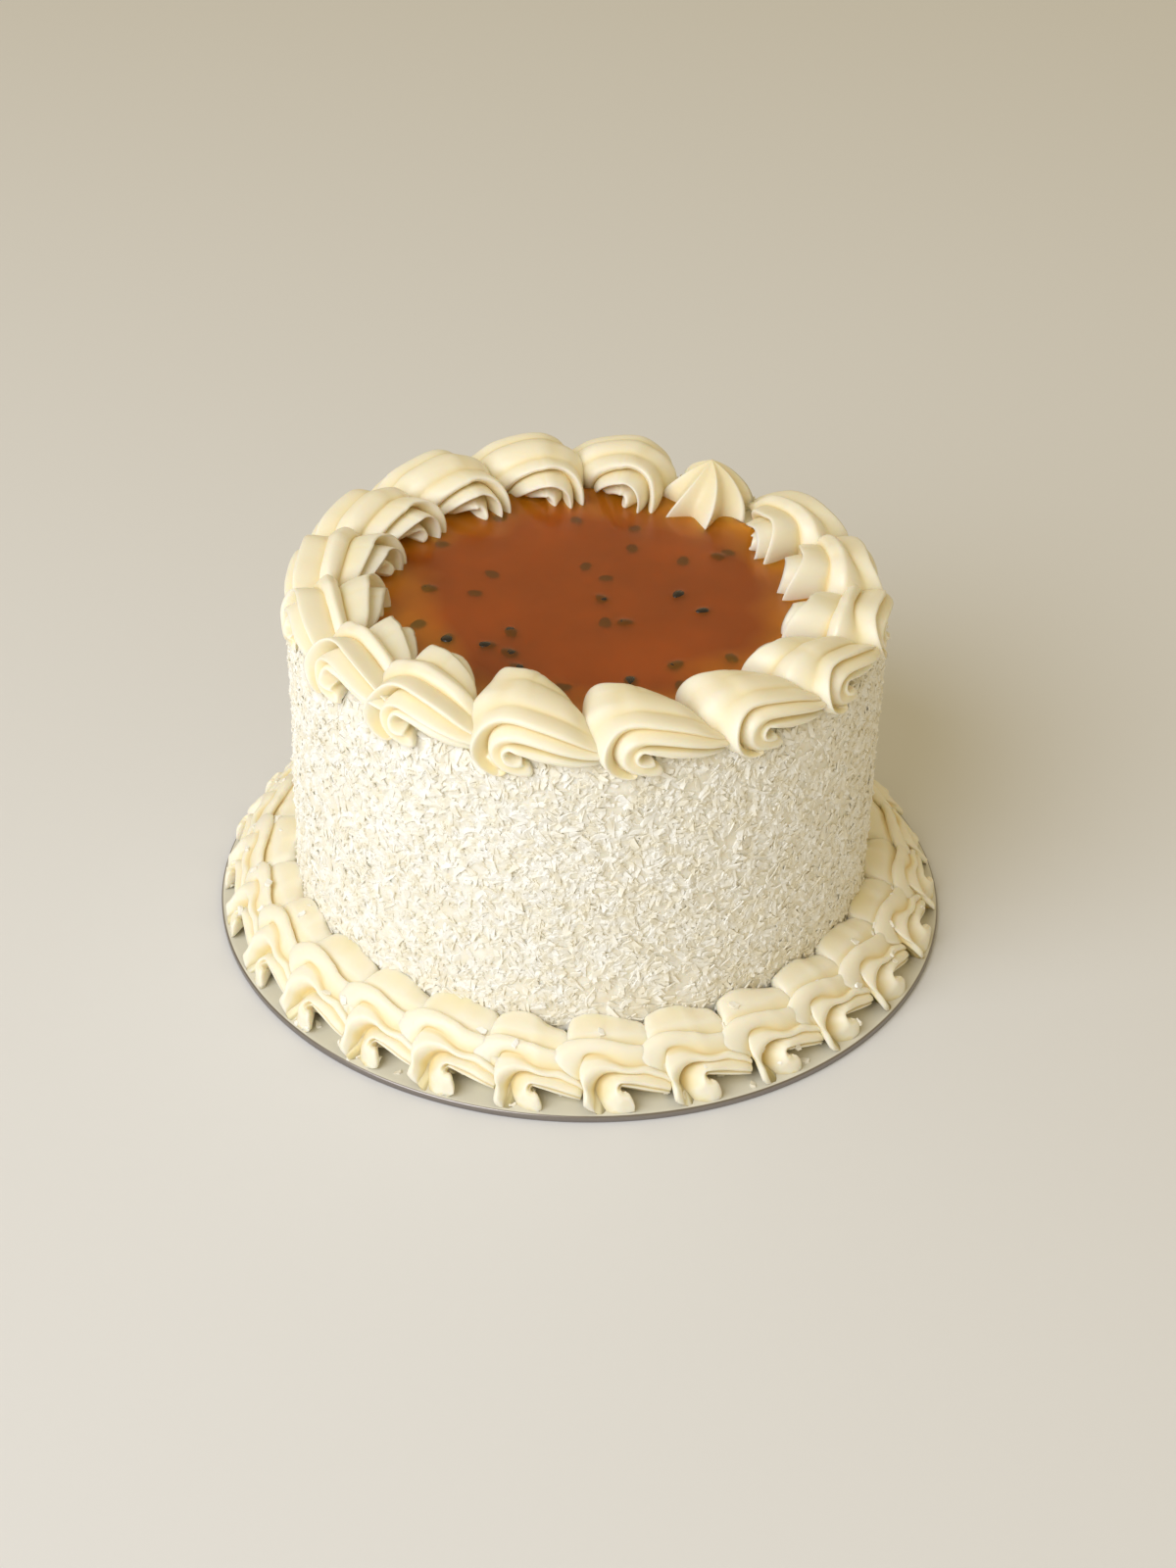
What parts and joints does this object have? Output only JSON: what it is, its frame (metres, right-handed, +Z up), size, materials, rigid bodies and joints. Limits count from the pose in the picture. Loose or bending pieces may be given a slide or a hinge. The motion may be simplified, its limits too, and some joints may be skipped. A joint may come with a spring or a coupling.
{
  "type": "mango passion fruit cake",
  "caption": "Tall round cake in grated coconut, with a seeded orange fruit glaze inside a piped buttercream shell border, a second border round its foot, on a thin round card.",
  "frame": {"origin": "middle of the card's underside, on the surface that the cake stands on", "axes": "+Z up; the front as pictured faces -Y, with +X to the viewer's right"},
  "size_m": [0.2032, 0.2032, 0.1085],
  "materials": {
    "buttercream": "smooth satin piped buttercream, pale cream",
    "coconut": "dull, shaggy coat of white grated coconut",
    "glaze": "wet, glossy, translucent deep orange fruit glaze with dark seeds",
    "card": "pale satin faced board with a grey cut edge"
  },
  "bodies": {
    "root": {"cake_card": "card", "cake_body": "coconut", "mango_glaze": "glaze", "rim_shell_01": "buttercream", "rim_shell_02": "buttercream", "rim_shell_03": "buttercream", "rim_shell_04": "buttercream", "rim_shell_05": "buttercream", "rim_shell_06": "buttercream", "rim_shell_07": "buttercream", "rim_shell_08": "buttercream", "rim_shell_09": "buttercream", "rim_shell_10": "buttercream", "rim_shell_11": "buttercream", "rim_shell_12": "buttercream", "rim_shell_13": "buttercream", "rim_shell_14": "buttercream", "rim_shell_15": "buttercream", "closing_star": "buttercream", "foot_shell_01": "buttercream", "foot_shell_02": "buttercream", "foot_shell_03": "buttercream", "foot_shell_04": "buttercream", "foot_shell_05": "buttercream", "foot_shell_06": "buttercream", "foot_shell_07": "buttercream", "foot_shell_08": "buttercream", "foot_shell_09": "buttercream", "foot_shell_10": "buttercream", "foot_shell_11": "buttercream", "foot_shell_12": "buttercream", "foot_shell_13": "buttercream", "foot_shell_14": "buttercream", "foot_shell_15": "buttercream", "foot_shell_16": "buttercream", "foot_shell_17": "buttercream", "foot_shell_18": "buttercream", "foot_shell_19": "buttercream", "foot_shell_20": "buttercream", "foot_shell_21": "buttercream", "foot_shell_22": "buttercream", "foot_shell_23": "buttercream", "foot_shell_24": "buttercream", "foot_shell_25": "buttercream", "foot_shell_26": "buttercream", "foot_shell_27": "buttercream"}
  },
  "joints": []
}
